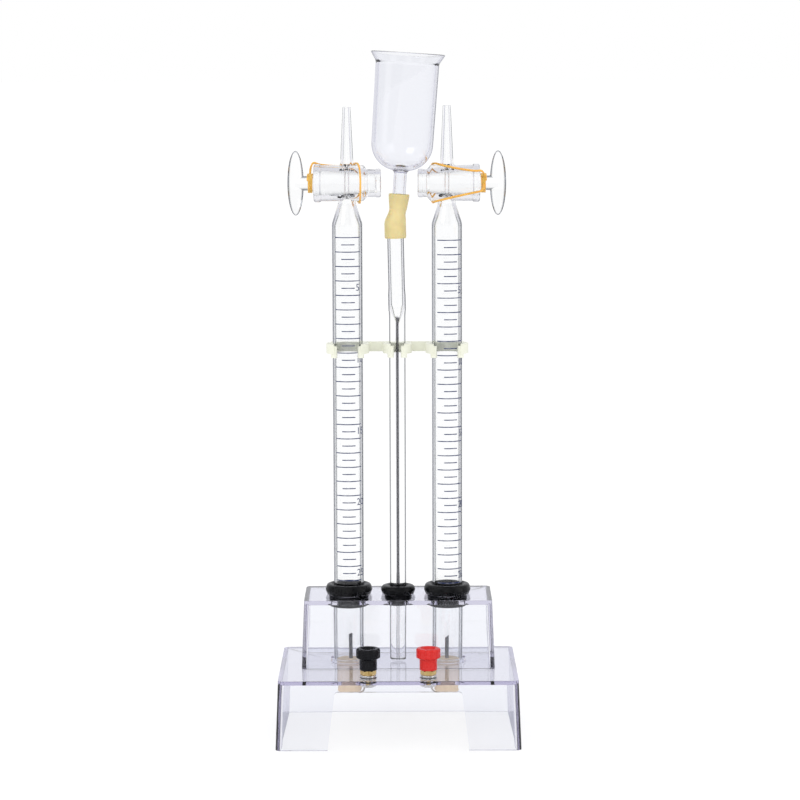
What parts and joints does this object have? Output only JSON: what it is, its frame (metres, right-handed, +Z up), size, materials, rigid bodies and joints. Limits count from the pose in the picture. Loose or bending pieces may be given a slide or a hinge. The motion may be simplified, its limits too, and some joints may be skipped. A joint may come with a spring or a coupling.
{
  "type": "water electrolysis voltameter",
  "caption": "Clear stepped stand with a liquid tank, graduated gas tubes with glass stopcocks, a filling tube with funnel, carbon electrodes and terminals.",
  "frame": {"origin": "on the ground under the middle of the stand's footprint", "axes": "+Z up along the tubes, +X to the right along the stopcock axes, -Y to the front where the terminals are"},
  "size_m": [0.123, 0.087, 0.3472],
  "materials": {
    "clear_plastic": "clear gloss",
    "clear_glass": "clear gloss",
    "black_rubber": "satin",
    "beige_rubber": "matt",
    "latex": "satin",
    "orange_rubber": "satin",
    "ivory_plastic": "satin",
    "graphite": "satin",
    "brass": "bright",
    "nickel": "bright",
    "tinned_wire": "satin",
    "black_plastic": "satin",
    "red_plastic": "satin"
  },
  "bodies": {
    "apparatus": {"lower_stand": "clear_plastic", "tank_cover": "clear_plastic", "centre_grommet": "black_rubber", "centre_tube": "clear_glass", "funnel": "clear_plastic", "funnel_connector": "latex", "tube_clamp": "ivory_plastic", "left_grommet": "black_rubber", "left_gas_tube": "clear_glass", "left_key_band": "orange_rubber", "left_electrode": "graphite", "left_electrode_stopper": "beige_rubber", "left_electrode_ferrule": "nickel", "black_electrode_wire": "tinned_wire", "black_post_stud": "brass", "black_post_ring": "nickel", "black_post_washer": "nickel", "black_post_lug": "nickel", "black_post_nut": "nickel", "right_grommet": "black_rubber", "right_gas_tube": "clear_glass", "right_key_band": "orange_rubber", "right_electrode": "graphite", "right_electrode_stopper": "beige_rubber", "right_electrode_ferrule": "nickel", "red_electrode_wire": "tinned_wire", "red_post_stud": "brass", "red_post_ring": "nickel", "red_post_washer": "nickel", "red_post_lug": "nickel", "red_post_nut": "nickel"},
    "left_key": {"left_stopcock_key": "clear_glass"},
    "right_key": {"right_stopcock_key": "clear_glass"},
    "black_post_screw": {"black_post_insert": "brass"},
    "black_post_cap": {"black_post_cap": "black_plastic"},
    "red_post_screw": {"red_post_insert": "brass"},
    "red_post_cap": {"red_post_cap": "red_plastic"}
  },
  "joints": [
    {"name": "left_key_turn", "type": "hinge", "parent": "apparatus", "child": "left_key", "pos_m": [-0.02525, 0.00735, 0.2807], "axis": [1, 0, 0], "continuous": true},
    {"name": "right_key_turn", "type": "hinge", "parent": "apparatus", "child": "right_key", "pos_m": [0.02525, 0.00735, 0.2807], "axis": [1, 0, 0], "continuous": true},
    {"name": "black_post_lift", "type": "slide", "parent": "apparatus", "child": "black_post_screw", "axis": [0, 0, 1], "range_m": [0, 0.0021]},
    {"name": "black_post_turn", "type": "hinge", "parent": "black_post_screw", "child": "black_post_cap", "pos_m": [-0.0151, -0.03135, 0.045], "axis": [0, 0, 1], "range_deg": [0, 1080]},
    {"name": "red_post_lift", "type": "slide", "parent": "apparatus", "child": "red_post_screw", "axis": [0, 0, 1], "range_m": [0, 0.0021]},
    {"name": "red_post_turn", "type": "hinge", "parent": "red_post_screw", "child": "red_post_cap", "pos_m": [0.0151, -0.03135, 0.045], "axis": [0, 0, 1], "range_deg": [0, 1080]}
  ],
  "couplings": [
    {"joint": "black_post_turn", "follows": "black_post_lift", "rad_per_m": 8975.9},
    {"joint": "red_post_turn", "follows": "red_post_lift", "rad_per_m": 8975.9}
  ]
}
